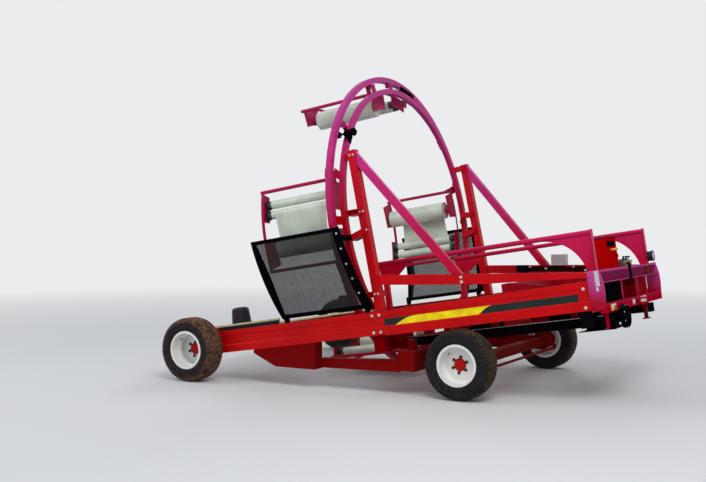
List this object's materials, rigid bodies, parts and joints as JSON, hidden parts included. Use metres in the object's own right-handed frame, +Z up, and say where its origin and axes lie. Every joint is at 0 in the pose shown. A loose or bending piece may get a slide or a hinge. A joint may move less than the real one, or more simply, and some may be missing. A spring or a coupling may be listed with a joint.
{
  "type": "bale wrapper",
  "caption": "Trailed in-line bale wrapper: a nose-up frame on wheels, with a turning hoop of film carriers that wraps bales as a pusher moves them rearward.",
  "frame": {"origin": "on the ground under the middle of the machine's bounding box", "axes": "+X is the machine's front, +Y its left side, +Z is up"},
  "size_m": [5.0502, 3.4738, 3.385],
  "materials": {
    "black_paint": "satin black enamel",
    "black_rubber": "matt black rubber",
    "cream_plastic": "cream slide plastic",
    "crimson_paint": "crimson gloss enamel",
    "dark_mesh": "dark wire mesh",
    "dark_red_paint": "dark red enamel",
    "grey_plastic": "light grey plastic",
    "hub_paint": "red enamel",
    "lamp_black": "black lamp body with a clear lens",
    "plated_steel": "dull plated steel",
    "red_paint": "bright red gloss enamel, a little dusty",
    "red_paint_frame": "red gloss enamel, dusty low down",
    "roller_alloy": "dark alloy rollers",
    "tyre": "black rubber, dry mud on the tread",
    "wheel_paint": "white enamel, muddy at the edges",
    "white_film": "wound stretch film, white with a green cast"
  },
  "bodies": {
    "chassis": {"rear_rails": "red_paint", "front_rails": "red_paint", "splice_plates": "red_paint", "rear_table": "red_paint_frame", "slide_strips": "cream_plastic", "side_bumpers": "black_rubber", "rear_stub_brackets": "red_paint", "drop_plates": "red_paint_frame", "lower_beams": "red_paint_frame", "front_axle": "red_paint_frame", "hoop_posts": "crimson_paint", "diagonal_braces": "crimson_paint", "mid_beams": "crimson_paint", "guide_arms": "crimson_paint", "end_plates": "crimson_paint", "front_channel": "crimson_paint", "front_beam": "crimson_paint", "front_table": "red_paint_frame", "push_tracks": "black_paint", "outriggers": "red_paint_frame", "control_cabinet": "red_paint", "oil_tank": "dark_red_paint", "engine": "black_paint", "engine_tray": "black_paint", "valve_block": "plated_steel", "junction_box": "grey_plastic", "work_lamp": "lamp_black", "hitch_lugs": "red_paint", "jack_sleeve": "red_paint_frame", "fixed_ring": "crimson_paint", "ring_brackets": "crimson_paint", "ring_rollers": "crimson_paint", "hoop_drive": "black_paint", "side_guards": "black_paint", "guard_mesh": "dark_mesh"},
    "hoop": {"turning_ring": "crimson_paint", "film_carriers": "crimson_paint", "stretch_rollers": "roller_alloy"},
    "film_1": {"film_roll_1": "white_film"},
    "film_2": {"film_roll_2": "white_film"},
    "film_3": {"film_roll_3": "white_film"},
    "film_4": {"film_roll_4": "white_film"},
    "pusher": {"pusher": "crimson_paint"},
    "jack": {"jack_leg": "dark_red_paint"},
    "steer_near": {"knuckle_near": "red_paint_frame"},
    "steer_far": {"knuckle_far": "red_paint_frame"},
    "tie_rod": {"tie_rod": "red_paint_frame"},
    "wheels_front_near": {"tyre_front_near": "tyre", "wheel_front_near": "wheel_paint", "hub_front_near": "hub_paint"},
    "wheels_front_far": {"tyre_front_far": "tyre", "wheel_front_far": "wheel_paint", "hub_front_far": "hub_paint"},
    "wheels_rear_near": {"tyre_rear_near": "tyre", "wheel_rear_near": "wheel_paint", "hub_rear_near": "hub_paint"},
    "wheels_rear_far": {"tyre_rear_far": "tyre", "wheel_rear_far": "wheel_paint", "hub_rear_far": "hub_paint"}
  },
  "joints": [
    {"name": "hoop_turn", "type": "hinge", "parent": "chassis", "child": "hoop", "pos_m": [-0.20537, 0, 1.74003], "axis": [0.9882, 0, 0.153], "continuous": true},
    {"name": "film_spin_1", "type": "hinge", "parent": "hoop", "child": "film_1", "pos_m": [-0.57577, -1.32505, 1.51806], "axis": [0.9882, 0, 0.153], "continuous": true},
    {"name": "film_spin_2", "type": "hinge", "parent": "hoop", "child": "film_2", "pos_m": [-0.80338, -0.1627, 2.98829], "axis": [0.9882, 0, 0.153], "continuous": true},
    {"name": "film_spin_3", "type": "hinge", "parent": "hoop", "child": "film_3", "pos_m": [-0.62555, 1.32505, 1.83962], "axis": [0.9882, 0, 0.153], "continuous": true},
    {"name": "film_spin_4", "type": "hinge", "parent": "hoop", "child": "film_4", "pos_m": [-0.39795, 0.1627, 0.36939], "axis": [0.9882, 0, 0.153], "continuous": true},
    {"name": "pusher_slide", "type": "slide", "parent": "chassis", "child": "pusher", "axis": [0.9882, 0, 0.153], "range_m": [-1.15, 0.45]},
    {"name": "jack_slide", "type": "slide", "parent": "chassis", "child": "jack", "axis": [0.153, 0, -0.9882], "range_m": [0, 0.2]},
    {"name": "steer_near", "type": "hinge", "parent": "chassis", "child": "steer_near", "pos_m": [1.03463, -1.07594, 0.345], "axis": [0, 0, 1], "range_deg": [-18, 18]},
    {"name": "steer_far", "type": "hinge", "parent": "chassis", "child": "steer_far", "pos_m": [1.03463, 1.07594, 0.345], "axis": [0, 0, 1], "range_deg": [-18, 18]},
    {"name": "tie_rod_pivot", "type": "hinge", "parent": "steer_near", "child": "tie_rod", "pos_m": [1.18463, -1.07594, 0.295], "axis": [0, 0, 1], "range_deg": [-18, 18]},
    {"name": "wheel_front_near_spin", "type": "hinge", "parent": "steer_near", "child": "wheels_front_near", "pos_m": [1.03463, -1.26194, 0.345], "axis": [0, 1, 0], "continuous": true},
    {"name": "wheel_front_far_spin", "type": "hinge", "parent": "steer_far", "child": "wheels_front_far", "pos_m": [1.03463, 1.26194, 0.345], "axis": [0, 1, 0], "continuous": true},
    {"name": "wheel_rear_near_spin", "type": "hinge", "parent": "chassis", "child": "wheels_rear_near", "pos_m": [-2.00514, -1.60594, 0.345], "axis": [0, 1, 0], "continuous": true},
    {"name": "wheel_rear_far_spin", "type": "hinge", "parent": "chassis", "child": "wheels_rear_far", "pos_m": [-2.00514, 1.60594, 0.345], "axis": [0, 1, 0], "continuous": true}
  ],
  "couplings": [
    {"joint": "steer_far", "follows": "steer_near", "ratio": 1},
    {"joint": "tie_rod_pivot", "follows": "steer_near", "ratio": -1}
  ]
}
